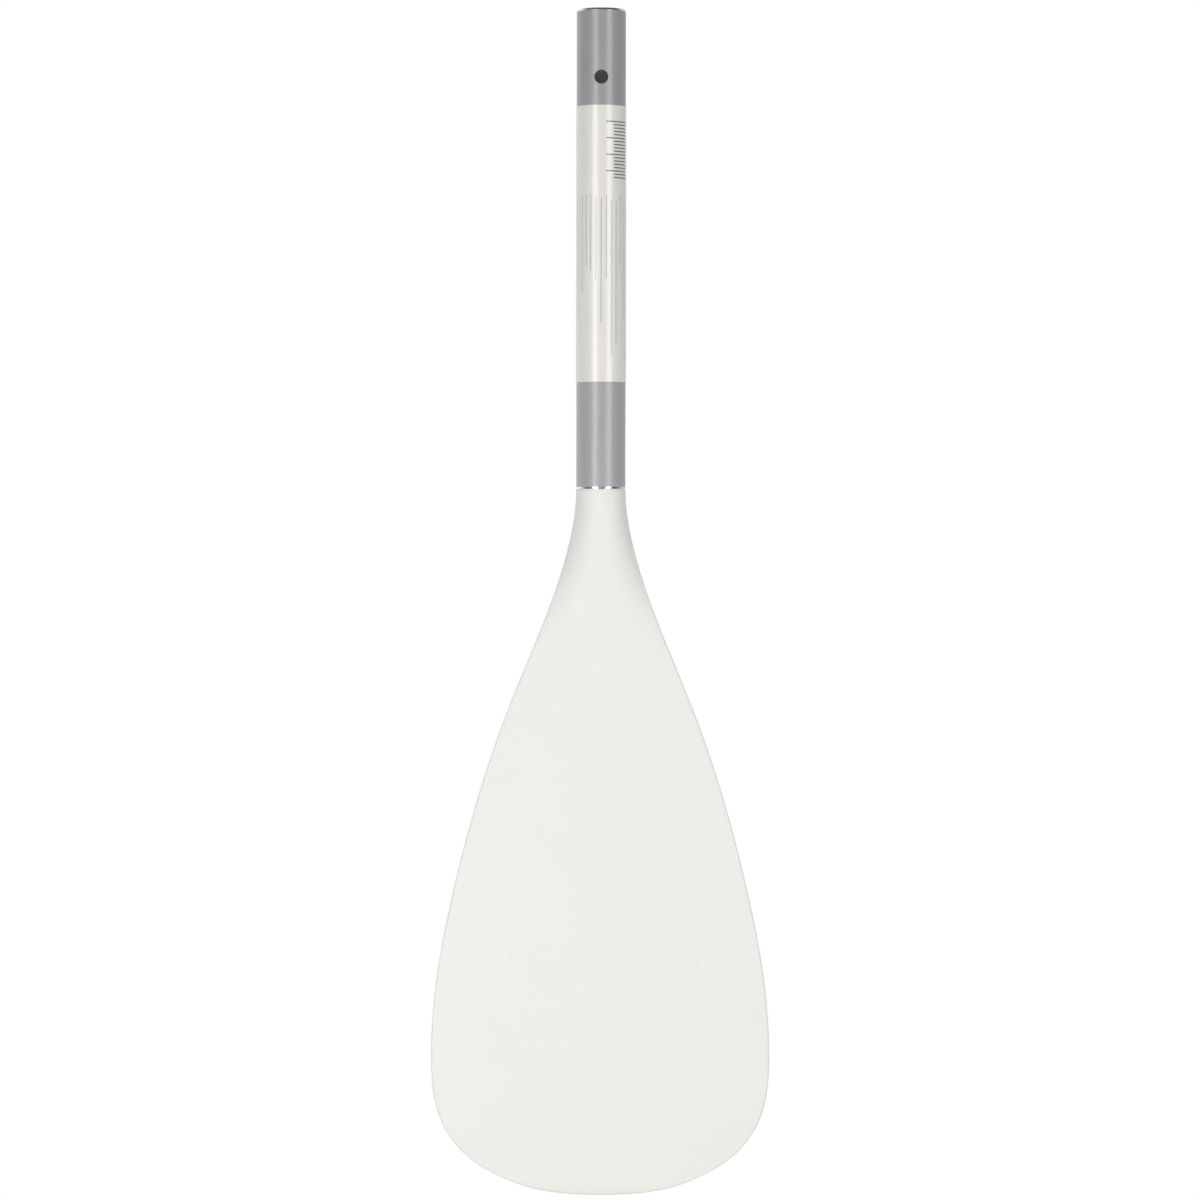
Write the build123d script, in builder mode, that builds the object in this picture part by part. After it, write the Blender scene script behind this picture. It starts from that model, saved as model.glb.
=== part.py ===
from build123d import *
from math import cos, pi, sin
import os

# Lower section of a take-apart stand-up paddle: an aluminium shaft tube bonded over the spigot of a
# moulded blade. The origin is the centre of the tube's open mouth. +Z leaves the mouth along the shaft,
# the power face looks to -Y and X runs across the blade. All lengths are millimetres.

# shaft tube
tube_d = 30.0
tube_wall = 1.5
tube_len = 292.0
bevel_len = 1.2
bevel_depth = 0.35

# snap-button hole of the length adjuster, on the power side
button_d = 8.5
button_drop = 42.0

# blade
blade_len = 430.0
blade_width = 206.0
rim_t = 3.5
rim_r = 1.3
neck_proud = 0.05
neck_len = 12.0

# where the blade's shape changes, as drops below the neck
shoulder_len = 125.0  # the round neck has sunk into the flat blade
roll_growth = 9.0  # the rounding along the edges widens by this much below the neck
roll_full = 70.0  # and by here has turned from an ellipse into a parabola
roll_start = 90.0  # from here it narrows again, to the rim's own
crease_rise = 0.8
crease_full = 100.0
crease_fade = (190.0, 310.0)
spine_w = 17.0
spine_end = 285.0
spine_fade = (228.0, 288.0)

# long profile of the tip: share of the way from the widest place to just past the end, and how far back
tip_profile = ((0.0, 0.0), (0.5, 0.0), (0.75, -0.5), (0.84, -0.85), (0.94, 0.2), (1.0, 2.6))
tip_thin = 0.4
tip_thin_start = 0.5
trim_margin = 2.0

# spigot, plug and glue line
spigot_len = 60.0
spigot_chamfer = 1.0
collar_w = 4.0
groove_w = 10.0
groove_depth = 0.8
core_d = 18.0
core_floor = 6.0
ream = 0.25
plug_head = 18.0
plug_round = 1.5
plug_headroom = 2.0

# label
label_top = 59.0
label_len = 168.0
label_t = 0.2
label_gap = 3.0

# clearances
collar_gap = 0.05
film_gap = 0.02
foam_gap = 0.3

# how far a cut starts or ends outside what it cuts
cut_margin = 1.0

tube_r = tube_d / 2
bore_r = tube_r - tube_wall
ream_r = bore_r + ream
neck_r = tube_r + neck_proud
neck_z = -tube_len
half_w = blade_width / 2
rim_h = rim_t / 2
land_h = rim_h - rim_r
spigot_r = ream_r - collar_gap
ream_len = spigot_len + foam_gap + plug_head + plug_headroom
groove_pitch = collar_w + groove_w
from_base = (Align.CENTER, Align.CENTER, Align.MIN)
groove_count = int((spigot_len - collar_w) // groove_pitch)
groove_floors = [neck_z + collar_w + k * groove_pitch for k in range(groove_count)]

# The blade's outline, from the neck to its widest place: how far below the neck as a share of the blade's
# length, and how far the half width has grown from the neck's radius to the widest half width.
widest_share = 0.802
widest = widest_share * blade_len
outline = (
    (0.000, 0.0000),
    (0.023, 0.0050),
    (0.058, 0.0300),
    (0.105, 0.0855),
    (0.163, 0.1785),
    (0.233, 0.3135),
    (0.326, 0.4965),
    (0.442, 0.6865),
    (0.558, 0.8355),
    (0.686, 0.9580),
    (widest_share, 1.0000),
)
# The same round the tip, as shares of the blade's length and of its widest half width.
tip_outline = ((0.8929, 0.944), (0.9400, 0.807), (0.9690, 0.630), (0.9890, 0.420))


def ease(t):
    # smooth step: 0 up to t = 0, 1 from t = 1, level at both ends
    t = min(1.0, max(0.0, t))
    return t * t * (3 - 2 * t)


def between(x, start, end):
    return ease((x - start) / (end - start))


def fall(x, edge, w, power=0.5):
    # 1 over the middle of a section, then a fall to 0 over the last w before the edge: power 0.5 makes it a
    # quarter ellipse, power 1 a parabola
    s = min(1.0, max(0.0, (x - edge + w) / w))
    return (1 - s * s) ** power


def section(drop, edge):
    # Heights over the mid plane of the power face and of the back, as functions of x. Three layers are
    # added up: the rim's own thickness, the round neck that sinks into it, and a crease in front or a
    # tapering spine behind.
    sunk = ease(drop / shoulder_len)
    dome_h = (neck_r - land_h) * (1 - sunk)
    rolled = neck_r + roll_growth * ease(drop / roll_full)
    dome_w = rolled + (rim_r - rolled) * between(drop, roll_start, widest)
    dome_power = 0.5 + 0.5 * ease(drop / roll_full)
    crease_h = crease_rise * ease(drop / crease_full) * (1 - between(drop, *crease_fade))
    taper = neck_r + (rim_h - neck_r) * max(0.0, drop - neck_len) / (spine_end - neck_len)
    spine_h = max(0.0, taper - land_h - dome_h - rim_r * sunk) * (1 - between(drop, *spine_fade))
    ridge_w = min(spine_w, edge - rim_r)

    def base(x):
        return land_h + rim_r * sunk * fall(x, edge, rim_r) + dome_h * fall(x, edge, dome_w, dome_power)

    def power(x):
        return base(x) + crease_h * (1 - x / (edge - rim_r)) if x < edge - rim_r else base(x)

    def back(x):
        return base(x) + (spine_h * cos(pi * x / 2 / ridge_w) ** 2 if x < ridge_w else 0.0)

    return power, back


def slope(height, x):
    # how steeply a height function rises at x, one-sided at the mid plane
    before = max(0.0, x - 1e-4)
    after = x + 1e-4
    return (height(after) - height(before)) / (after - before)


def half_section(drop, edge):
    # right half of the blade's section at a drop below the neck, power face towards -Y
    for side, height in zip((-1, 1), section(drop, edge)):
        x1 = edge - rim_r
        spots = [x1 * sin(pi / 2 * k / 8) for k in range(9)]
        turn = (1, side * slope(height, x1))
        Spline(*[(x, side * height(x)) for x in spots], tangents=[(1, side * slope(height, 0)), turn])
        spots = [x1 + rim_r * sin(pi / 2 * k / 4) for k in range(5)]
        Spline(*[(x, side * height(x)) for x in spots], tangents=[turn, (0, -side)])
    Line((edge, -land_h), (edge, land_h))
    Line((0, -section(drop, edge)[0](0)), (0, section(drop, edge)[1](0)))


# --- blade ------------------------------------------------------------------------------------------------
# Half of it is modelled, from the mid plane out to the right rim, and mirrored.

with BuildPart() as blade:
    # lower third: a curved slab trimmed to the tip's outline
    slab_top = neck_z - widest
    slab_len = blade_len - widest + trim_margin
    with BuildSketch(Plane.YZ):
        with BuildLine():
            sides = []
            for side in (-1, 1):
                spots = []
                for share, set_back in tip_profile:
                    half_t = rim_h - tip_thin / 2 * between(share, tip_thin_start, 1.0)
                    spots.append((set_back + side * half_t, slab_top - share * slab_len))
                sides.append(Spline(*spots, tangents=[(0, -1), (0.5, -1)]))
            Line(sides[0] @ 0, sides[1] @ 0)
            Line(sides[0] @ 1, sides[1] @ 1)
        make_face()
    extrude(amount=half_w + trim_margin)
    with BuildSketch(Plane.XZ.offset(-tube_r)):
        with BuildLine():
            rim = Spline(
                (half_w, slab_top),
                *[(w * half_w, neck_z - s * blade_len) for s, w in tip_outline],
                (0, neck_z - blade_len),
                tangents=[(0, -1), (-1, 0)],
            )
            Polyline(rim @ 1, (0, slab_top), rim @ 0)
        make_face()
    extrude(amount=tube_d, mode=Mode.INTERSECT)
    long_edges = blade.edges().filter_by(lambda e: e.bounding_box().size.Z > slab_len / 2)
    fillet(long_edges.filter_by(lambda e: e.center().X > rim_r), rim_r)
    # upper part: round at the neck, flat at the widest place
    for share, growth in outline:
        drop = share * blade_len
        with BuildSketch(Plane.XY.offset(neck_z - drop)):
            with BuildLine():
                half_section(drop, neck_r + growth * (half_w - neck_r))
            make_face()
    loft()
    mirror(about=Plane.YZ)
    # spigot: collars centre it in the tube, the grooves between them take the adhesive
    with BuildSketch(Plane.XY.offset(neck_z)):
        Circle(spigot_r)
    extrude(amount=spigot_len)
    chamfer(blade.faces().sort_by(Axis.Z)[-1].outer_wire().edges(), length=spigot_chamfer)
    with BuildSketch(Plane.XZ):
        for z in groove_floors:
            with Locations((spigot_r - groove_depth, z)):
                Rectangle(groove_depth + cut_margin, groove_w, align=(Align.MIN, Align.MIN))
    revolve(axis=Axis.Z, mode=Mode.SUBTRACT)
    # the spigot is cored out so that the moulding has no thick lump
    with Locations((0, 0, neck_z + core_floor)):
        Cylinder(core_d / 2, spigot_len, align=from_base, mode=Mode.SUBTRACT)

# --- shaft tube -------------------------------------------------------------------------------------------

with BuildPart() as shaft_tube:
    with BuildSketch(Plane.XZ):
        with BuildLine():
            Polyline(
                (bore_r, 0),
                (tube_r - bevel_depth, 0),
                (tube_r, -bevel_len),
                (tube_r, neck_z + bevel_len),
                (tube_r - bevel_depth, neck_z + film_gap),
                (ream_r, neck_z + film_gap),
                (ream_r, neck_z + ream_len),
                (bore_r, neck_z + ream_len + ream),
                close=True,
            )
        make_face()
    revolve(axis=Axis.Z)
    # the hole goes through the power side's wall only
    with Locations(Plane((0, -tube_r - cut_margin, -button_drop), z_dir=(0, 1, 0))):
        Cylinder(button_d / 2, tube_r, align=from_base, mode=Mode.SUBTRACT)

# --- adhesive ---------------------------------------------------------------------------------------------
# cured rings in the spigot's grooves

ring_t = groove_depth + collar_gap - 2 * film_gap
with BuildPart() as adhesive:
    with BuildSketch(Plane.XZ):
        for z in groove_floors:
            with Locations((spigot_r - groove_depth + film_gap, z + film_gap)):
                Rectangle(ring_t, groove_w - 2 * film_gap, align=(Align.MIN, Align.MIN))
    revolve(axis=Axis.Z)

# --- float plug -------------------------------------------------------------------------------------------
# closed-cell foam that keeps water out of the shaft, its stem filling the spigot's core

with BuildPart() as float_plug:
    with BuildSketch(Plane.XY.offset(neck_z + core_floor + foam_gap)):
        Circle(core_d / 2 - foam_gap)
    extrude(amount=spigot_len - core_floor)
    with BuildSketch(Plane.XY.offset(neck_z + spigot_len + foam_gap)):
        Circle(ream_r - foam_gap)
    extrude(amount=plug_head)
    fillet(float_plug.faces().sort_by(Axis.Z)[-1].edges(), radius=plug_round)

# --- label ------------------------------------------------------------------------------------------------
# blank film wrapped round the tube, its ends a little apart at the back

with BuildPart() as label:
    with BuildSketch(Plane.XY.offset(-label_top - label_len)):
        Circle(tube_r + film_gap + label_t)
        Circle(tube_r + film_gap, mode=Mode.SUBTRACT)
        with Locations((0, tube_r)):
            Rectangle(label_gap, 2 * cut_margin, mode=Mode.SUBTRACT)
    extrude(amount=label_len)

os.makedirs("parts", exist_ok=True)
blade.part.label = "blade"
export_step(blade.part, "parts/blade.step")
shaft_tube.part.label = "shaft_tube"
export_step(shaft_tube.part, "parts/shaft_tube.step")
adhesive.part.label = "adhesive"
export_step(adhesive.part, "parts/adhesive.step")
float_plug.part.label = "float_plug"
export_step(float_plug.part, "parts/float_plug.step")
label.part.label = "label"
export_step(label.part, "parts/label.step")
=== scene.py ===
import bpy
import numpy as np
from math import pi, radians
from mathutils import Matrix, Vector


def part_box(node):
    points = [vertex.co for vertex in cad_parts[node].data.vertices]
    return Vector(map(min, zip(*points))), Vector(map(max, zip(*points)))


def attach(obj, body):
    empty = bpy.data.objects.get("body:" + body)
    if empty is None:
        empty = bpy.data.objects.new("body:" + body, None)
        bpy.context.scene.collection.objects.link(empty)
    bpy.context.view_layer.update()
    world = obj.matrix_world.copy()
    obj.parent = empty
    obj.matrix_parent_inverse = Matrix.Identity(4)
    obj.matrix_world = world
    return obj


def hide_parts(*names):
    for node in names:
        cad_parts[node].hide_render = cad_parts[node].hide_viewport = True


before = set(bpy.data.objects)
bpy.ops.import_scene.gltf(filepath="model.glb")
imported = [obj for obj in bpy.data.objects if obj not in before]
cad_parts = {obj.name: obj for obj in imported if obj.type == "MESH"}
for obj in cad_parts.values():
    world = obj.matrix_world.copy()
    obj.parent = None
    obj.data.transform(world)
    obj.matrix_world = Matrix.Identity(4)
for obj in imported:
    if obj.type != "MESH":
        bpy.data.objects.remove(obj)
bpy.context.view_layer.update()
mm = 0.001
seatGap = 0.02 * mm  # between the shaft and what sits on it

# Everything is in metres in the paddle's frame: the shaft's mouth at the origin, the tip straight below it
# on -Z, the power face towards -Y.
tubeLow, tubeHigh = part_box("shaft_tube")
bladeLow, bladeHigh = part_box("blade")
labelLow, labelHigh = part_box("label")
tubeRadius = tubeHigh.x
neckZ = tubeLow.z - seatGap
tipZ = bladeLow.z
bladeLength = neckZ - tipZ
halfWidth = bladeHigh.x
print("frame: blade", round(bladeLength / mm), "mm long, shaft", round(-neckZ / mm), "mm")


# Shapes are worked out as whole arrays.

def smoothStep(t):  # 3 t squared - 2 t cubed, held at 0 and 1
    t = np.clip(t, 0, 1)
    return t * t * (3 - 2 * t)


def between(x, start, end):
    return smoothStep((x - start) / (end - start))


def roundFall(t, power=0.5):  # from 1 at t = 0 to 0 at t = 1: a quarter ellipse, or with power 1 a parabola
    t = np.clip(t, 0, 1)
    return (1 - t * t) ** power


def curveThrough(points, startAim, endAim, count=1500):
    # A cubic curve through the points with no jump in bend, its parameter the distance from point to point.
    # The tangents m solve m0/a + 2 m1 (1/a + 1/b) + m2/b = 3 (step0/a/a + step1/b/b) at each inner point.
    points = np.array(points, float)
    steps = np.diff(points, axis=0)
    gaps = np.hypot(*steps.T)
    knots = np.concatenate(([0], np.cumsum(gaps)))
    inner = np.arange(1, len(points) - 1)
    system = np.eye(len(points))
    system[inner, inner - 1] = 1 / gaps[:-1]
    system[inner, inner + 1] = 1 / gaps[1:]
    system[inner, inner] = 2 / gaps[:-1] + 2 / gaps[1:]
    weighted = 3 * steps / gaps[:, None] ** 2
    wanted = np.vstack((startAim, weighted[:-1] + weighted[1:], endAim))
    tangents = np.linalg.solve(system, wanted)
    along = np.linspace(0, knots[-1], count)
    k = np.clip(np.searchsorted(knots, along, side="right") - 1, 0, len(gaps) - 1)
    h = gaps[k][:, None]
    t = ((along - knots[k]) / gaps[k])[:, None]
    return (
        (1 + 2 * t) * (1 - t) ** 2 * points[k] + t * (1 - t) ** 2 * h * tangents[k]
        + t * t * (3 - 2 * t) * points[k + 1] + t * t * (t - 1) * h * tangents[k + 1]
    )


def ringFaces(ringCount, ringSize):
    # quads between each ring of points and the next one
    ring, spot = np.meshgrid(np.arange(ringCount - 1), np.arange(ringSize), indexing="ij")
    after = (spot + 1) % ringSize
    quads = np.stack((ring * ringSize + spot, ring * ringSize + after,
                      (ring + 1) * ringSize + after, (ring + 1) * ringSize + spot), axis=-1)
    return quads.reshape(-1, 4)


def poleFaces(pole, firstOfRing, ringSize, flip):
    # a fan of triangles that closes a ring with one point
    spot = np.arange(ringSize)
    after = (spot + 1) % ringSize
    fan = np.stack((np.full(ringSize, pole), firstOfRing + after, firstOfRing + spot), axis=-1)
    return fan[:, ::-1] if flip else fan


def makePiece(name, points, faceArrays, sharpAngle=35):
    mesh = bpy.data.meshes.new(name)
    faceList = [face for faces in faceArrays for face in faces.tolist()]
    mesh.from_pydata(np.asarray(points).reshape(-1, 3), [], faceList)
    mesh.polygons.foreach_set("use_smooth", np.ones(len(mesh.polygons), bool))
    mesh.set_sharp_from_angle(angle=radians(sharpAngle))
    mesh.validate()
    piece = bpy.data.objects.new(name, mesh)
    bpy.context.scene.collection.objects.link(piece)
    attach(piece, "root")
    return piece


bladeShape = {
    "widestShare": 0.802,  # of the blade's length, from the neck to its widest place
    "rimRadius": 1.3 * mm,
    "rimHalf": 1.75 * mm,
    "tipThin": 0.2 * mm,
    "tipThinFrom": 0.5,  # of the way from the widest place to just past the tip
    "tipBack": 1.95 * mm,
    "trimMargin": 2 * mm,
    "neckRadius": tubeRadius + 0.05 * mm,
    "neckEdge": 0.3 * mm,
    "neckRings": (0, 0.07 * mm, 0.16 * mm, 0.3 * mm),
    "neckLength": 12 * mm,
    "shoulderLength": 125 * mm,
    "rollGrowth": 9 * mm,
    "rollFull": 70 * mm,
    "rollStart": 90 * mm,
    "creaseRise": 0.8 * mm,
    "creaseFull": 100 * mm,
    "creaseFade": (190 * mm, 310 * mm),
    "spineWidth": 17 * mm,
    "spineEnd": 285 * mm,
    "spineFade": (228 * mm, 288 * mm),
    "gateDrop": 230 * mm,
    "gateRadius": 4.5 * mm,
    "gateDepth": 0.12 * mm,
    "spigotRadius": 13.7 * mm,
    "spigotChamfer": 1 * mm,
    "grooveRadius": 12.9 * mm,
    "grooveWidth": 10 * mm,
    "collarWidth": 4 * mm,
    "coreRadius": 9 * mm,
    "coreFloor": 6 * mm,
    "grooves": 4,
    "rings": 250,
    "ringSize": 340,
}
# share of the blade's length from the neck, and share of the way from neck radius to widest half width
upperOutline = (
    (0.000, 0.0000), (0.023, 0.0050), (0.058, 0.0300), (0.105, 0.0855), (0.163, 0.1785), (0.233, 0.3135),
    (0.326, 0.4965), (0.442, 0.6865), (0.558, 0.8355), (0.686, 0.9580), (bladeShape["widestShare"], 1.0),
)
# share of the length, and share of the widest half width
lowerOutline = (
    (bladeShape["widestShare"], 1.0), (0.8929, 0.944), (0.9400, 0.807), (0.9690, 0.630), (0.9890, 0.420),
    (1.0, 0.0),
)
# share of the way from the widest place to just past the tip, and how far back the wall lies there, in mm
tipProfile = ((0.0, 0.0), (0.5, 0.0), (0.75, -0.5), (0.84, -0.85), (0.94, 0.2), (1.0, 2.6))


def bladeOutline(drop):
    # half width at each drop below the neck, and how fast its square changes with the drop
    neck = bladeShape["neckRadius"]
    upper = [(neck + growth * (halfWidth - neck), share * bladeLength) for share, growth in upperOutline]
    lower = [(share * halfWidth, down * bladeLength) for down, share in lowerOutline]
    edge = np.vstack((curveThrough(upper, (0, 1), (0, 1)), curveThrough(lower, (0, 1), (-1, 0))[1:]))
    down = np.maximum.accumulate(edge[:, 1]) + np.arange(len(edge)) * 1e-12
    squared = edge[:, 0] ** 2
    width = np.sqrt(np.interp(drop, down, squared))
    return width, np.interp(drop, down, np.gradient(squared, down))


def bladeRings():
    # A ring for each drop below the neck: the power face from left to right, then the back from right to
    # left. Each height is the rim's own, plus the round neck that sinks into it, plus a crease or a spine.
    shape = bladeShape
    widest = shape["widestShare"] * bladeLength
    spread = bladeLength * np.sin(pi / 2 * np.linspace(0, 1, shape["rings"] + 1)[1:-1])
    drop = np.concatenate((shape["neckRings"], spread))[:, None]
    width, squareSlope = bladeOutline(drop)
    half = shape["ringSize"] // 2
    x = width * np.sin(np.linspace(-pi / 2, pi / 2, half))[None, :]
    # distance in from the outline, where width squared - x squared is 0, as its value over its slope
    inwards = (width ** 2 - x ** 2) / np.sqrt(4 * x ** 2 + squareSlope ** 2 + 1e-18)
    slabLength = bladeLength - widest + shape["trimMargin"]
    slabShare = np.clip((drop - widest) / slabLength, 0, 1)
    setBack = curveThrough([(share, back * mm / slabLength) for share, back in tipProfile], (1, 0), (1, 0.5))
    setBack = np.interp(slabShare, setBack[:, 0], setBack[:, 1]) * slabLength
    rimHalf = shape["rimHalf"] - shape["tipThin"] * between(slabShare, shape["tipThinFrom"], 1.0)
    land = rimHalf - shape["rimRadius"]
    sunk = smoothStep(drop / shape["shoulderLength"])
    domeHeight = (shape["neckRadius"] - land) * (1 - sunk)
    narrowed = between(drop, shape["rollStart"], widest)
    rolling = smoothStep(drop / shape["rollFull"])
    rolled = shape["neckRadius"] + shape["rollGrowth"] * rolling
    domeWidth = rolled + (shape["rimRadius"] - rolled) * narrowed
    base = land + shape["rimRadius"] * sunk * roundFall(1 - inwards / shape["rimRadius"])
    base = base + domeHeight * roundFall((abs(x) - width + domeWidth) / domeWidth, 0.5 + 0.5 * rolling)
    flatHalf = width - shape["rimRadius"]
    crease = smoothStep(drop / shape["creaseFull"]) * (1 - between(drop, *shape["creaseFade"]))
    crease = shape["creaseRise"] * crease * np.clip(1 - abs(x) / flatHalf, 0, 1)
    gate = np.hypot(x, drop - shape["gateDrop"]) / shape["gateRadius"]
    front = base + crease - shape["gateDepth"] * (1 - smoothStep(gate))
    taper = (drop - shape["neckLength"]) / (shape["spineEnd"] - shape["neckLength"])
    taper = shape["neckRadius"] + (shape["rimHalf"] - shape["neckRadius"]) * np.clip(taper, 0, None)
    spine = np.clip(taper - land - domeHeight - shape["rimRadius"] * sunk, 0, None)
    spine = spine * (1 - between(drop, *shape["spineFade"]))
    ridge = np.minimum(shape["spineWidth"], flatHalf)
    back = base + spine * np.cos(pi / 2 * np.clip(abs(x) / ridge, 0, 1)) ** 2
    # the neck's own small edge radius draws its first rings in
    neckRound = shape["neckEdge"] * (1 - roundFall(1 - drop / shape["neckEdge"]))
    shrink = 1 - neckRound / shape["neckRadius"]
    z = np.broadcast_to(neckZ - drop, x.shape)
    face = np.stack((x * shrink, setBack - front * shrink, z), axis=-1)
    rear = np.stack((x * shrink, setBack + back * shrink, z), axis=-1)[:, ::-1]
    return np.concatenate((face, rear), axis=1)


def spigotRings(profile):
    # circles round the shaft's line, from (radius, z) pairs, with their points in the order of the blade's
    size = bladeShape["ringSize"]
    around = -pi / 2 + (np.arange(size) + 0.5) * 2 * pi / size
    radius, z = np.array(profile).T[:, :, None]
    return np.stack((radius * np.sin(around), -radius * np.cos(around), z + 0 * around), axis=-1)


def makeBlade():
    # the cored spigot from the middle of its core's floor, over its end and down its collars, then the blade
    shape = bladeShape
    radius, groove, core = shape["spigotRadius"], shape["grooveRadius"], shape["coreRadius"]
    chamfer = shape["spigotChamfer"]
    top = bladeHigh.z
    coreFloor = neckZ + shape["coreFloor"]
    profile = [(core, coreFloor), (core, top), (radius - chamfer, top), (radius, top - chamfer)]
    for k in reversed(range(shape["grooves"])):
        low = neckZ + shape["collarWidth"] + k * (shape["collarWidth"] + shape["grooveWidth"])
        high = low + shape["grooveWidth"]
        profile += [(radius, high), (groove, high), (groove, low), (radius, low)]
    profile += [(radius, neckZ)]
    rings = np.concatenate((spigotRings(profile), bladeRings()))
    count, size = rings.shape[:2]
    poles = [(0, 0, coreFloor), (0, shape["tipBack"], tipZ)]
    points = np.vstack((rings.reshape(-1, 3), poles))
    piece = makePiece("blade_moulding", points, [
        ringFaces(count, size)[:, ::-1],
        poleFaces(count * size, 0, size, True),
        poleFaces(count * size + 1, (count - 1) * size, size, False),
    ])
    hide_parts("blade")
    print("blade:", len(piece.data.polygons), "faces")
    return piece


bladePiece = makeBlade()


labelShape = {
    "gap": 3 * mm,
    "film": 0.2 * mm,
    "corner": 3 * mm,
    "lift": 0.12 * mm,
    "liftReach": 2.5 * mm,
    "ripple": 0.02 * mm,
    "rippleAround": (4 * mm, 9 * mm),
    "rippleDown": (19 * mm, 11 * mm),
    "rippleStart": 6 * mm,  # full this far in from the edges
    "around": 260,
    "down": 150,
}


def makeLabel():
    # A film bent round the shaft: radius = shaft + film, plus a lift that grows towards its edges and a slow
    # ripple. Its corners are quarter circles, so the film is shorter near its two ends.
    shape = labelShape
    inner = tubeRadius + seatGap
    halfArc = pi * inner - shape["gap"] / 2
    arc = halfArc * np.sin(np.linspace(-pi / 2, pi / 2, shape["around"]))[:, None]
    fromEnd = halfArc - abs(arc)
    cut = shape["corner"] * (1 - roundFall(1 - fromEnd / shape["corner"]))
    top, bottom = labelHigh.z - cut, labelLow.z + cut
    z = top + (bottom - top) * (1 - np.cos(np.linspace(0, pi, shape["down"])))[None, :] / 2
    fromEdge = np.minimum(fromEnd, np.minimum(top - z, z - bottom))
    lift = shape["lift"] * (1 - smoothStep(fromEdge / shape["liftReach"]))
    lift = lift * smoothStep(abs(arc) / halfArc * 2 - 1)  # only on the half of the film nearer the gap
    ripple = np.sin(arc / shape["rippleAround"][0] + z / shape["rippleDown"][0])
    ripple = ripple * np.sin(z / shape["rippleDown"][1] - arc / shape["rippleAround"][1])
    ripple = shape["ripple"] * (1 + ripple) * smoothStep(fromEdge / shape["rippleStart"])
    radius = inner + lift + ripple
    angle = arc / inner
    sheets = [np.stack((r * np.sin(angle), -r * np.cos(angle), z), axis=-1)
              for r in (radius + shape["film"], radius)]
    loop = np.concatenate((sheets[0], sheets[1][:, ::-1]), axis=1)
    count, size = loop.shape[:2]
    rows = np.arange(shape["down"] - 1)
    strip = np.stack((rows, rows + 1, size - 2 - rows, size - 1 - rows), axis=-1)
    ends = [strip, strip + (count - 1) * size]
    piece = makePiece("label_film", loop, [ringFaces(count, size), ends[0][:, ::-1], ends[1]])
    # its own map in millimetres: distance round from the front line, distance down from the top
    flat = np.stack(np.broadcast_arrays(arc, labelHigh.z - z), axis=-1) / mm
    flat = np.concatenate((flat, flat[:, ::-1]), axis=1).reshape(-1, 2)
    corners = np.empty(len(piece.data.loops), np.int32)
    piece.data.loops.foreach_get("vertex_index", corners)
    piece.data.uv_layers.new(name="filmMap").data.foreach_set("uv", flat[corners].ravel().astype(np.float32))
    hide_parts("label")
    print("label:", len(piece.data.polygons), "faces")
    return piece


labelPiece = makeLabel()


# Effects that more than one finish uses are node groups.

def newGroup(name, inputs, outputs):
    tree = bpy.data.node_groups.new(name, "ShaderNodeTree")
    for label, value in inputs.items():
        tree.interface.new_socket(label, in_out="INPUT", socket_type="NodeSocketFloat").default_value = value
    for label in outputs:
        tree.interface.new_socket(label, in_out="OUTPUT", socket_type="NodeSocketFloat")
    return tree, tree.nodes.new("NodeGroupInput"), tree.nodes.new("NodeGroupOutput")


def put(tree, kind, settings=None, **sockets):
    # a node with its settings and its socket values; a socket value that is an output is linked
    node = tree.nodes.new(kind)
    for key, value in (settings or {}).items():
        setattr(node, key, value)
    for key, value in sockets.items():
        target = node.inputs[int(key[1:])] if key[0] == "_" else node.inputs[key.replace("_", " ")]
        if isinstance(value, bpy.types.NodeSocket):
            tree.links.new(value, target)
        else:
            target.default_value = value
    return node


def maths(tree, operation, a, b=0.0, c=0.0):
    return put(tree, "ShaderNodeMath", {"operation": operation}, _0=a, _1=b, _2=c).outputs[0]


def ramp(tree, value, low, high, toLow=0.0, toHigh=1.0):
    return put(tree, "ShaderNodeMapRange", {"interpolation_type": "SMOOTHSTEP"}, Value=value,
               From_Min=low, From_Max=high, To_Min=toLow, To_Max=toHigh).outputs[0]


def objectPlace(tree, stretch=(1, 1, 1)):
    place = put(tree, "ShaderNodeTexCoord").outputs["Object"]
    return put(tree, "ShaderNodeMapping", Vector=place, Scale=stretch).outputs[0]


def makeMottling():
    # Shade = 1 +- Amount from slow cloudy noise, Scale in clouds per metre
    tree, given, out = newGroup("mottling", {"Scale": 30, "Amount": 0.02}, ("Shade",))
    cloud = put(tree, "ShaderNodeTexNoise", Vector=objectPlace(tree),
                Scale=given.outputs["Scale"], Detail=3.0)
    swing = maths(tree, "MULTIPLY_ADD", cloud.outputs["Fac"], 4, -2)  # 0.25 to 0.75 becomes -1 to 1
    tree.links.new(maths(tree, "MULTIPLY_ADD", swing, given.outputs["Amount"], 1), out.inputs["Shade"])
    return tree


def makeGrain():
    # Height of a fine skin, Scale in grains per metre; Stretch below 1 draws it out along the shaft
    tree, given, out = newGroup("fineGrain", {"Scale": 2000, "Stretch": 1}, ("Height",))
    lengthwise = put(tree, "ShaderNodeCombineXYZ", X=1.0, Y=1.0, Z=given.outputs["Stretch"]).outputs[0]
    place = put(tree, "ShaderNodeTexCoord").outputs["Object"]
    place = put(tree, "ShaderNodeVectorMath", {"operation": "MULTIPLY"}, _0=place, _1=lengthwise).outputs[0]
    grain = put(tree, "ShaderNodeTexNoise", Vector=place, Scale=given.outputs["Scale"], Detail=2.0)
    tree.links.new(grain.outputs["Fac"], out.inputs["Height"])
    return tree


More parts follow.
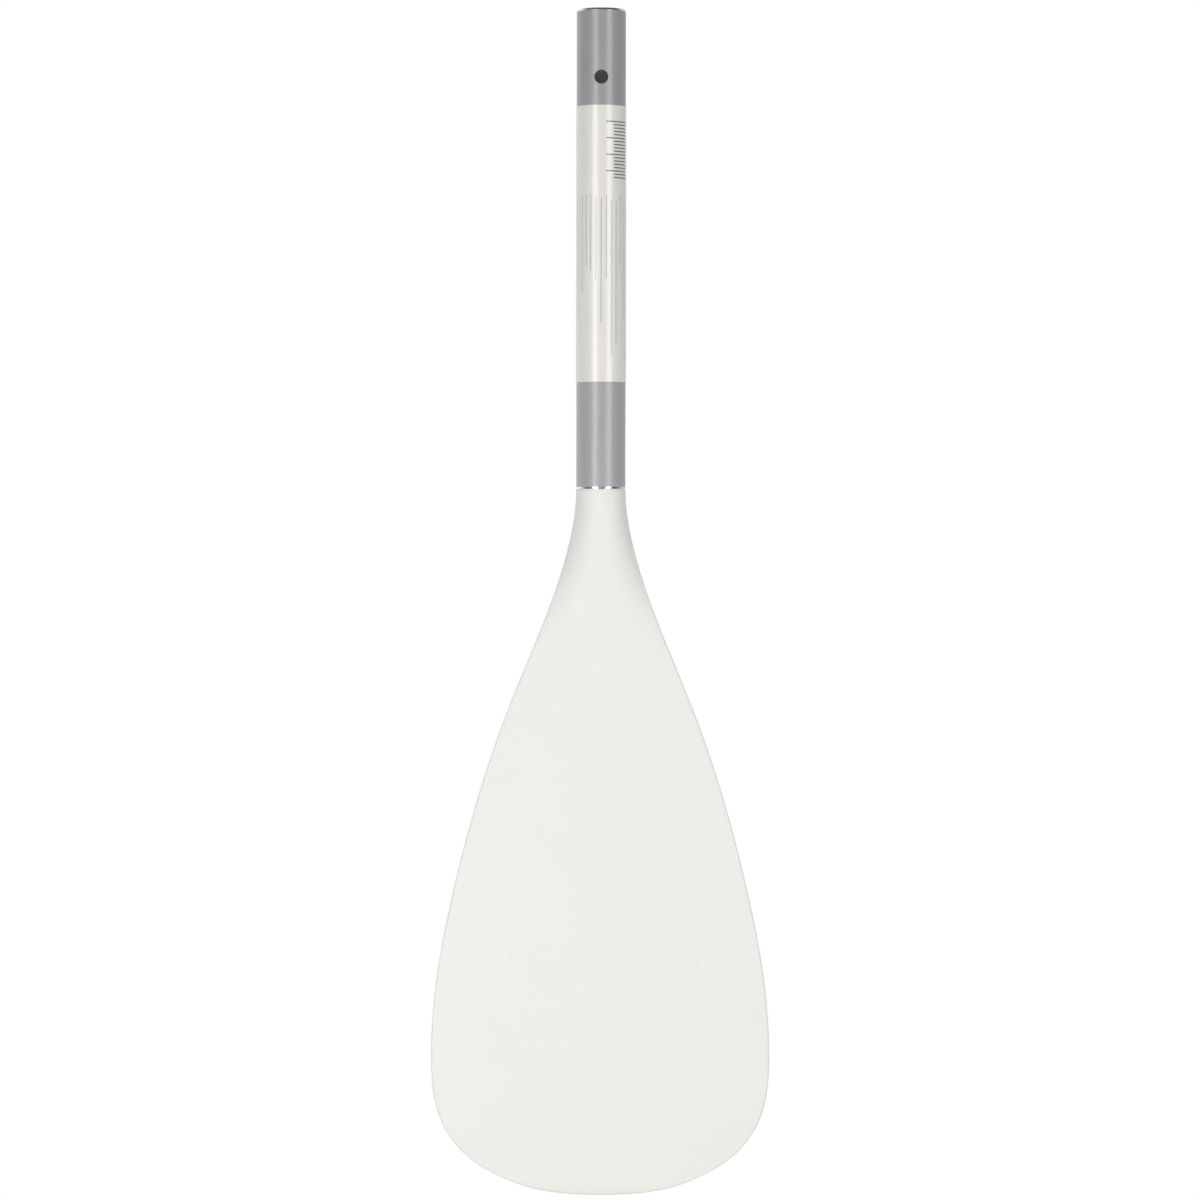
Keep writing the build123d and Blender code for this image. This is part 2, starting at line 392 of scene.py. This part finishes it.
scuffShape = {
    "stretch": 0.22,  # below 1 draws the hairlines out along the shaft
    "wander": 0.6,
    "thickness": 0.006,
    "patches": 14.0,  # to a metre
    "patchEdge": (0.56, 0.68),
}


def makeScuffs():
    # Mask of sparse hairline scuffs: thin crests of stretched noise, kept only where a slow noise is high
    tree, given, out = newGroup("scuffs", {"Scale": 60, "Amount": 0.5}, ("Mask",))
    shape = scuffShape
    drawn = put(tree, "ShaderNodeTexNoise", Vector=objectPlace(tree, (1, 1, shape["stretch"])),
                Scale=given.outputs["Scale"], Detail=4.0, Distortion=shape["wander"])
    crest = maths(tree, "ABSOLUTE", maths(tree, "SUBTRACT", drawn.outputs["Fac"], 0.5))
    crest = ramp(tree, crest, 0.0, shape["thickness"], 1.0, 0.0)
    where = put(tree, "ShaderNodeTexNoise", Vector=objectPlace(tree), Scale=shape["patches"], Detail=1.0)
    kept = ramp(tree, where.outputs["Fac"], *shape["patchEdge"])
    both = maths(tree, "MULTIPLY", crest, kept)
    tree.links.new(maths(tree, "MULTIPLY", both, given.outputs["Amount"]), out.inputs["Mask"])
    return tree


def makeRub():
    # Mask of one short rub on the power face: a soft ellipse at X, Z, Length by Width in metres, turned by
    # Turn in radians. It is full inside a fifth of its size and gone at half.
    inputs = {"X": 0, "Z": 0, "Turn": 0, "Length": 0.01, "Width": 0.002}
    tree, given, out = newGroup("rub", inputs, ("Mask",))
    spot = put(tree, "ShaderNodeSeparateXYZ", _0=put(tree, "ShaderNodeTexCoord").outputs["Object"])
    dx = maths(tree, "SUBTRACT", spot.outputs["X"], given.outputs["X"])
    dz = maths(tree, "SUBTRACT", spot.outputs["Z"], given.outputs["Z"])
    cosine = maths(tree, "COSINE", given.outputs["Turn"])
    sine = maths(tree, "SINE", given.outputs["Turn"])
    along = maths(tree, "ADD", maths(tree, "MULTIPLY", dx, cosine), maths(tree, "MULTIPLY", dz, sine))
    across = maths(tree, "SUBTRACT", maths(tree, "MULTIPLY", dz, cosine), maths(tree, "MULTIPLY", dx, sine))
    along = maths(tree, "DIVIDE", along, given.outputs["Length"])
    across = maths(tree, "DIVIDE", across, given.outputs["Width"])
    squares = maths(tree, "ADD", maths(tree, "POWER", along, 2), maths(tree, "POWER", across, 2))
    away = maths(tree, "SQRT", squares)
    facing = maths(tree, "LESS_THAN", spot.outputs["Y"], 0)
    tree.links.new(maths(tree, "MULTIPLY", ramp(tree, away, 0.2, 0.5, 1.0, 0.0), facing), out.inputs["Mask"])
    return tree


mottling, fineGrain, scuffs, rub = makeMottling(), makeGrain(), makeScuffs(), makeRub()


def newMaterial(name):
    material = bpy.data.materials.new(name)
    material.use_nodes = True
    tree = material.node_tree
    return material, tree, tree.nodes["Principled BSDF"]


def use(tree, group, **sockets):
    return put(tree, "ShaderNodeGroup", {"node_tree": group}, **sockets)


def mottled(tree, scale, amount):
    return use(tree, mottling, Scale=scale, Amount=amount).outputs[0]


def grained(tree, scale, stretch):
    return use(tree, fineGrain, Scale=scale, Stretch=stretch).outputs[0]


def scuffed(tree, scale, amount):
    return use(tree, scuffs, Scale=scale, Amount=amount).outputs[0]


def smudged(tree, smudges, roughness):
    # slow clouds take the roughness from its first value to its second
    return ramp(tree, mottled(tree, *smudges), 0.5, 1.5, *roughness)


def tint(tree, colour, shade):
    # a colour multiplied by a value
    grey = put(tree, "ShaderNodeCombineColor", Red=shade, Green=shade, Blue=shade).outputs[0]
    return put(tree, "ShaderNodeMix", {"data_type": "RGBA", "blend_type": "MULTIPLY"},
               _0=1.0, _6=colour, _7=grey).outputs[2]


def blendColours(tree, mask, first, second):
    return put(tree, "ShaderNodeMix", {"data_type": "RGBA"}, _0=mask, _6=first, _7=second).outputs[2]


def addBump(tree, shader, height, distance):
    bump = put(tree, "ShaderNodeBump", Height=height, Distance=distance, Strength=1.0)
    tree.links.new(bump.outputs[0], shader.inputs["Normal"])


def setFinish(shader, **values):
    for key, value in values.items():
        shader.inputs[key.replace("_", " ")].default_value = value


# In each finish a pair for clouds, flecks, flakes, smudges or scuffs is how many to a metre and how strong,
# and a pair for the grain is how many to a metre and how much it is stretched.

plasticLook = {
    "colour": (0.772, 0.769, 0.738, 1),
    "markColour": (0.50, 0.49, 0.46, 1),
    "roughness": (0.50, 0.62),
    "specular": 0.4,
    "clouds": (18.0, 0.006),
    "flecks": (900.0, 0.006),
    "smudges": (45.0, 0.5),
    "scuffs": (34.0, 0.05),
    "gateRing": 0.12,
    "grain": (1600.0, 1.0),
    "grainHeight": 0.02 * mm,
    # x, drop below the neck, turn in degrees, length and width in mm, strength
    "rubs": ((-54, 285, -25, 9, 2.6, 0.10), (59, 288, 30, 4, 2.6, 0.14), (-81, 307, 70, 13, 1.6, 0.05),
             (-63, 329, -60, 10, 1.6, 0.05)),
}


def makePlasticLook():
    # white moulded plastic with a faint ring round the gate mark and a few rubs on the power face
    look = plasticLook
    material, tree, shader = newMaterial("whiteMoulding")
    cloud = mottled(tree, *look["clouds"])
    flecks = mottled(tree, *look["flecks"])
    colour = tint(tree, tint(tree, look["colour"], cloud), flecks)
    marks = scuffed(tree, *look["scuffs"])
    for x, drop, turn, length, width, strength in look["rubs"]:
        one = use(tree, rub, X=x * mm, Z=neckZ - drop * mm, Turn=radians(turn),
                  Length=length * mm, Width=width * mm)
        marks = maths(tree, "MAXIMUM", marks, maths(tree, "MULTIPLY", one.outputs[0], strength))
    gateWidth = 2 * bladeShape["gateRadius"]
    gate = use(tree, rub, Z=neckZ - bladeShape["gateDrop"], Length=gateWidth, Width=gateWidth).outputs[0]
    gateRing = maths(tree, "MULTIPLY", gate, maths(tree, "SUBTRACT", 1.0, gate))
    marks = maths(tree, "MAXIMUM", marks, maths(tree, "MULTIPLY", gateRing, look["gateRing"]))
    tree.links.new(blendColours(tree, marks, colour, look["markColour"]), shader.inputs["Base Color"])
    tree.links.new(smudged(tree, look["smudges"], look["roughness"]), shader.inputs["Roughness"])
    setFinish(shader, Specular_IOR_Level=look["specular"])
    addBump(tree, shader, grained(tree, *look["grain"]), look["grainHeight"])
    return material


tubeLook = {
    "paint": (0.314, 0.322, 0.326, 1),
    "paintedLightBelowLabel": 1.15,  # painted light: how much paler the paint is painted below the label than above it, standing in for the brighter light on the lower shaft
    "bare": (0.86, 0.86, 0.865, 1),
    "inside": (0.80, 0.80, 0.81, 1),
    "worn": (0.5, 0.5, 0.5, 1),
    "roughness": (0.27, 0.36),
    "endsRougher": -0.12,
    "insideRougher": 0.15,
    "specular": 0.85,
    "bevel": 1.25 * mm,
    "paintDepth": 0.45 * mm,  # what lies deeper than this is bare
    "grain": (2600.0, 0.012),
    "grainEdge": (0.3, 0.7),
    "grainShade": (0.975, 1.025),
    "grainHeight": 0.0015 * mm,
    "clouds": (60.0, 0.012),
    "flakes": (6000.0, 0.03),
    "scuffs": (110.0, 0.35),
}


def makeTubeLook():
    # satin grey over the outside, bare metal on the cut and bevelled ends, in the bore and in the button hole
    look = tubeLook
    material, tree, shader = newMaterial("greyShaft")
    place = put(tree, "ShaderNodeTexCoord").outputs["Object"]
    spot = put(tree, "ShaderNodeSeparateXYZ", _0=place)
    flatPlace = put(tree, "ShaderNodeVectorMath", {"operation": "MULTIPLY"}, _0=place, _1=(1, 1, 0))
    radius = put(tree, "ShaderNodeVectorMath", {"operation": "LENGTH"}, _0=flatPlace.outputs[0])
    inside = maths(tree, "LESS_THAN", radius.outputs["Value"], tubeRadius - look["paintDepth"])
    topEnd = maths(tree, "GREATER_THAN", spot.outputs["Z"], -look["bevel"])
    lowEnd = maths(tree, "LESS_THAN", spot.outputs["Z"], tubeLow.z + look["bevel"])
    ends = maths(tree, "MAXIMUM", topEnd, lowEnd)
    bare = maths(tree, "MAXIMUM", ends, inside)
    lines = grained(tree, *look["grain"])
    streak = ramp(tree, lines, *look["grainEdge"], *look["grainShade"])
    cloud = mottled(tree, *look["clouds"])
    flakes = mottled(tree, *look["flakes"])
    # painted light: the paint grows paler from the label's top down to its bottom and stays so below it,
    # standing in for the brighter light on the lower shaft
    lowerPaintedLight = ramp(tree, spot.outputs["Z"], labelHigh.z, labelLow.z, 1.0, look["paintedLightBelowLabel"])
    paint = look["paint"]
    for shade in (streak, cloud, flakes, lowerPaintedLight):
        paint = tint(tree, paint, shade)
    paint = blendColours(tree, scuffed(tree, *look["scuffs"]), paint, look["worn"])
    metal = blendColours(tree, inside, tint(tree, look["bare"], streak), tint(tree, look["inside"], streak))
    tree.links.new(blendColours(tree, bare, paint, metal), shader.inputs["Base Color"])
    tree.links.new(bare, shader.inputs["Metallic"])
    satin = ramp(tree, lines, *look["grainEdge"], *look["roughness"])
    polished = maths(tree, "MULTIPLY_ADD", ends, look["endsRougher"], satin)
    rough = maths(tree, "MULTIPLY_ADD", inside, look["insideRougher"], polished)
    tree.links.new(rough, shader.inputs["Roughness"])
    setFinish(shader, Specular_IOR_Level=look["specular"])
    addBump(tree, shader, lines, look["grainHeight"])
    return material


labelLook = {
    "film": (0.754, 0.738, 0.687, 1),
    "ink": (0.10, 0.11, 0.14, 1),
    "paleInk": (0.30, 0.31, 0.33, 1),
    "roughness": (0.20, 0.29),
    "gloss": 0.8,
    "clouds": (50.0, 0.012),
    "smudges": (120.0, 0.25),
    "grain": (220.0, 0.5),
    "grainHeight": 0.02 * mm,
}
# The generic print, in mm. The scale's ticks follow one another down the label and the ruled lines follow
# one another round it; ticks start and end round from the front line, ruled lines down from the top.
labelPrint = {
    "tickGap": 2.0,
    "longTickGap": 10.0,
    "tickWidth": 0.8,
    "ticksFrom": 9.0,
    "ticksTo": 45.0,
    "tickStart": 8.0,
    "longTickExtra": 5.0,
    "tickEnd": 19.0,
    "tickInk": 0.9,
    "ruleGap": 3.2,
    "ruleWidth": 0.5,
    "rulesReach": 20.5,
    "ruleStart": (54.0, 5.0),  # the least, and how much chance adds
    "ruleEnd": (96.0, 62.0),
    "ruleInk": 0.75,
}


def makeStripes():
    # Mask of stripes Width wide, one every Period, cut to the stretch from Low to High, with soft edges
    inputs = {"Position": 0, "Period": 3, "Width": 0.5, "Low": 0, "High": 10}
    tree, given, out = newGroup("stripes", inputs, ("Mask",))
    share = maths(tree, "DIVIDE", given.outputs["Position"], given.outputs["Period"])
    nearest = maths(tree, "SUBTRACT", share, maths(tree, "ROUND", share))
    away = maths(tree, "MULTIPLY", maths(tree, "ABSOLUTE", nearest), given.outputs["Period"])
    over = maths(tree, "SUBTRACT", away, maths(tree, "MULTIPLY", given.outputs["Width"], 0.5))
    stripe = ramp(tree, over, -0.05, 0.05, 1.0, 0.0)
    after = maths(tree, "GREATER_THAN", given.outputs["Position"], given.outputs["Low"])
    before = maths(tree, "LESS_THAN", given.outputs["Position"], given.outputs["High"])
    cut = maths(tree, "MULTIPLY", after, before)
    tree.links.new(maths(tree, "MULTIPLY", stripe, cut), out.inputs["Mask"])
    return tree


stripes = makeStripes()


def makeTicks(tree, around, down):
    # a plain scale beside the front, every fifth tick a long one
    look = labelPrint
    masks = [use(tree, stripes, Position=down, Period=gap, Width=look["tickWidth"],
                 Low=look["ticksFrom"], High=look["ticksTo"]).outputs[0]
             for gap in (look["tickGap"], look["longTickGap"])]
    start = maths(tree, "MULTIPLY_ADD", masks[1], -look["longTickExtra"], look["tickStart"])
    ticks = maths(tree, "MULTIPLY", masks[0], maths(tree, "GREATER_THAN", around, start))
    return maths(tree, "MULTIPLY", ticks, maths(tree, "LESS_THAN", around, look["tickEnd"]))


def makeRules(tree, around, down):
    # plain ruled lines along the shaft, each with its own start and end
    look = labelPrint
    rules = use(tree, stripes, Position=around, Period=look["ruleGap"], Width=look["ruleWidth"],
                Low=-look["rulesReach"], High=look["rulesReach"]).outputs[0]
    lineNumber = maths(tree, "ROUND", maths(tree, "DIVIDE", around, look["ruleGap"]))
    chance = put(tree, "ShaderNodeTexWhiteNoise", {"noise_dimensions": "1D"}, W=lineNumber).outputs["Value"]
    least, extra = look["ruleStart"]
    after = maths(tree, "GREATER_THAN", down, maths(tree, "MULTIPLY_ADD", chance, extra, least))
    least, extra = look["ruleEnd"]
    before = maths(tree, "LESS_THAN", down, maths(tree, "MULTIPLY_ADD", chance, extra, least))
    return maths(tree, "MULTIPLY", rules, maths(tree, "MULTIPLY", after, before))


def makeLabelLook():
    # off-white gloss film with generic print: a plain scale of ticks and plain ruled lines of uneven length
    look = labelLook
    material, tree, shader = newMaterial("labelFilm")
    flat = put(tree, "ShaderNodeUVMap", {"uv_map": "filmMap"}).outputs[0]
    spot = put(tree, "ShaderNodeSeparateXYZ", _0=flat)
    ticks = makeTicks(tree, spot.outputs["X"], spot.outputs["Y"])
    rules = makeRules(tree, spot.outputs["X"], spot.outputs["Y"])
    film = tint(tree, look["film"], mottled(tree, *look["clouds"]))
    paleInk = maths(tree, "MULTIPLY", rules, labelPrint["ruleInk"])
    printed = blendColours(tree, paleInk, film, look["paleInk"])
    ink = maths(tree, "MULTIPLY", ticks, labelPrint["tickInk"])
    printed = blendColours(tree, ink, printed, look["ink"])
    tree.links.new(printed, shader.inputs["Base Color"])
    tree.links.new(smudged(tree, look["smudges"], look["roughness"]), shader.inputs["Roughness"])
    setFinish(shader, Specular_IOR_Level=look["gloss"])
    addBump(tree, shader, grained(tree, *look["grain"]), look["grainHeight"])
    return material


foamLook = {
    "skin": (0.035, 0.035, 0.04, 1),
    "wall": (0.07, 0.07, 0.075, 1),
    "roughness": (0.95, 0.8),  # in a cell and on its wall
    "cells": 900.0,  # to a metre
    "wallShare": 0.25,
    "wallHeight": 0.15 * mm,
    "clouds": (200.0, 0.12),
}


def makeFoamLook():
    # closed-cell foam: rounded cells with thin walls
    look = foamLook
    material, tree, shader = newMaterial("darkFoam")
    cells = put(tree, "ShaderNodeTexVoronoi", {"feature": "DISTANCE_TO_EDGE"},
                Vector=objectPlace(tree), Scale=look["cells"])
    wall = ramp(tree, cells.outputs["Distance"], 0.0, look["wallShare"], 1.0, 0.0)
    skin = tint(tree, look["skin"], mottled(tree, *look["clouds"]))
    tree.links.new(blendColours(tree, wall, skin, look["wall"]), shader.inputs["Base Color"])
    tree.links.new(ramp(tree, wall, 0.0, 1.0, *look["roughness"]), shader.inputs["Roughness"])
    addBump(tree, shader, wall, look["wallHeight"])
    return material


glueLook = {
    "colour": (0.62, 0.48, 0.25, 1),
    "roughness": (0.12, 0.3),
    "clouds": (260.0, 0.10),
    "cloudEdge": (0.8, 1.2),
    "grain": (500.0, 1.0),
    "grainHeight": 0.05 * mm,
}


def makeGlueLook():
    # cured epoxy: amber, glossy, a little cloudy
    look = glueLook
    material, tree, shader = newMaterial("amberGlue")
    cloud = mottled(tree, *look["clouds"])
    tree.links.new(tint(tree, look["colour"], cloud), shader.inputs["Base Color"])
    tree.links.new(ramp(tree, cloud, *look["cloudEdge"], *look["roughness"]), shader.inputs["Roughness"])
    addBump(tree, shader, grained(tree, *look["grain"]), look["grainHeight"])
    return material


def finishNode(name, material):
    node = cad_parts[name]
    node.data.materials.clear()
    node.data.materials.append(material)


bladePiece.data.materials.append(makePlasticLook())
labelPiece.data.materials.append(makeLabelLook())
finishNode("shaft_tube", makeTubeLook())
finishNode("float_plug", makeFoamLook())
finishNode("adhesive", makeGlueLook())
print("finishes:", len(bpy.data.materials), "materials")


studio = {
    "sensor": 36,  # in mm, like the lens
    "cameraDistance": 3.076,
    "viewHeight": 0.7312,
    "aimX": -0.0004,
    "aimZ": -0.3594,
    "roll": -0.0013,
    "leftStrip": {"azimuth": -28, "distance": 1.2, "width": 0.48, "height": 2.0, "radiance": 3.75},
    "rightStrip": {"azimuth": 38, "distance": 2.2, "width": 0.85, "height": 2.6, "radiance": 3.5},
    "stripZ": -0.7,
    "topLight": {"azimuth": 0, "elevation": 50, "spread": 50, "strength": 0.68},
    "rearLight": {"azimuth": 160, "elevation": 35, "spread": 60, "strength": 0.8},
    "frontLevel": 0.12,
    "backLevel": 0.85,
    "levelEdge": (-0.25, 0.6),  # where the level starts and stops growing, on the way from front to back
    "leftward": 0.3,
    "floorDrop": 0.25,
    "floorRadius": 0.9,
    "floorRings": 5,
    "floorSpots": 96,
    "floorPaint": (0.8, 0.8, 0.8, 1),
    "floorClouds": (3.0, 0.004),
    "floorGlow": 0.62,
}


def makeCamera():
    # lens / sensor = distance / height of the view
    data = bpy.data.cameras.new("camera")
    data.sensor_width = studio["sensor"]
    data.lens = studio["sensor"] * studio["cameraDistance"] / studio["viewHeight"]
    camera = bpy.data.objects.new("camera", data)
    camera.location = (studio["aimX"], -studio["cameraDistance"], studio["aimZ"])
    camera.rotation_euler = (pi / 2, studio["roll"], 0)
    bpy.context.scene.collection.objects.link(camera)
    bpy.context.scene.camera = camera


def makeStrip(name, azimuth, distance, width, height, radiance):
    # radiance = watts / (pi * area) for a flat lamp
    data = bpy.data.lights.new(name, "AREA")
    data.shape = "RECTANGLE"
    data.size = width
    data.size_y = height
    data.energy = radiance * pi * width * height
    lamp = bpy.data.objects.new(name, data)
    turn = radians(azimuth)
    lamp.location = (distance * np.sin(turn), -distance * np.cos(turn), studio["stripZ"])
    lamp.rotation_euler = (pi / 2, 0, turn)
    lamp.visible_camera = False
    bpy.context.scene.collection.objects.link(lamp)


def makeFarLight(name, azimuth, elevation, spread, strength):
    # a wide soft lamp far away; it lights the surfaces but leaves no highlight of its own
    data = bpy.data.lights.new(name, "SUN")
    data.energy = strength
    data.angle = radians(spread)
    lamp = bpy.data.objects.new(name, data)
    lamp.rotation_euler = (radians(90 - elevation), 0, radians(azimuth))
    lamp.visible_glossy = False
    bpy.context.scene.collection.objects.link(lamp)


def makeWorld():
    # white to the camera; as light, dimmer on the camera's side than behind the paddle and a little brighter
    # on the left
    world = bpy.data.worlds.new("studioWorld")
    world.use_nodes = True
    bpy.context.scene.world = world
    tree = world.node_tree
    tree.nodes.clear()
    split = put(tree, "ShaderNodeSeparateXYZ", _0=put(tree, "ShaderNodeTexCoord").outputs["Generated"])
    level = ramp(tree, split.outputs["Y"], *studio["levelEdge"], studio["frontLevel"], studio["backLevel"])
    side = maths(tree, "MULTIPLY_ADD", split.outputs["X"], -studio["leftward"], 1.0)
    level = maths(tree, "MULTIPLY", level, side)
    light = put(tree, "ShaderNodeBackground", Color=(1, 1, 1, 1), Strength=level)
    white = put(tree, "ShaderNodeBackground", Color=(1, 1, 1, 1))
    seen = put(tree, "ShaderNodeLightPath").outputs["Is Camera Ray"]
    mix = put(tree, "ShaderNodeMixShader", _0=seen, _1=light.outputs[0], _2=white.outputs[0])
    put(tree, "ShaderNodeOutputWorld", Surface=mix.outputs[0])


def makeFloor():
    # a pale disc under the hanging paddle; to the camera it is white where no shadow falls
    ringCount, size = studio["floorRings"], studio["floorSpots"]
    around = np.linspace(0, 2 * pi, size + 1)[:-1]
    radius = studio["floorRadius"] * np.linspace(1 / ringCount, 1, ringCount)[:, None]
    z = tipZ - studio["floorDrop"]
    rings = np.stack((radius * np.cos(around), radius * np.sin(around), z + 0 * radius * around), axis=-1)
    points = np.vstack((rings.reshape(-1, 3), [(0, 0, z)]))
    bands = ringFaces(ringCount, size)[:, ::-1]
    middle = poleFaces(ringCount * size, 0, size, True)
    mesh = bpy.data.meshes.new("paleFloor")
    mesh.from_pydata(points, [], bands.tolist() + middle.tolist())
    floor = bpy.data.objects.new("paleFloor", mesh)
    bpy.context.scene.collection.objects.link(floor)
    material, tree, shader = newMaterial("paleFloorPaint")
    cloud = mottled(tree, *studio["floorClouds"])
    tree.links.new(tint(tree, studio["floorPaint"], cloud), shader.inputs["Base Color"])
    setFinish(shader, Roughness=0.9, Specular_IOR_Level=0.1)
    glow = put(tree, "ShaderNodeEmission", Color=(1, 1, 1, 1), Strength=studio["floorGlow"])
    lit = put(tree, "ShaderNodeAddShader", _0=shader.outputs[0], _1=glow.outputs[0])
    seen = put(tree, "ShaderNodeLightPath").outputs["Is Camera Ray"]
    mix = put(tree, "ShaderNodeMixShader", _0=seen, _1=shader.outputs[0], _2=lit.outputs[0])
    tree.links.new(mix.outputs[0], tree.nodes["Material Output"].inputs["Surface"])
    mesh.materials.append(material)


makeCamera()
makeStrip("leftStrip", **studio["leftStrip"])
makeStrip("rightStrip", **studio["rightStrip"])
for name in ("topLight", "rearLight"):
    makeFarLight(name, **studio[name])
makeWorld()
makeFloor()
bpy.context.scene.view_settings.view_transform = "Standard"
print("studio: camera, two strips and a white surround")
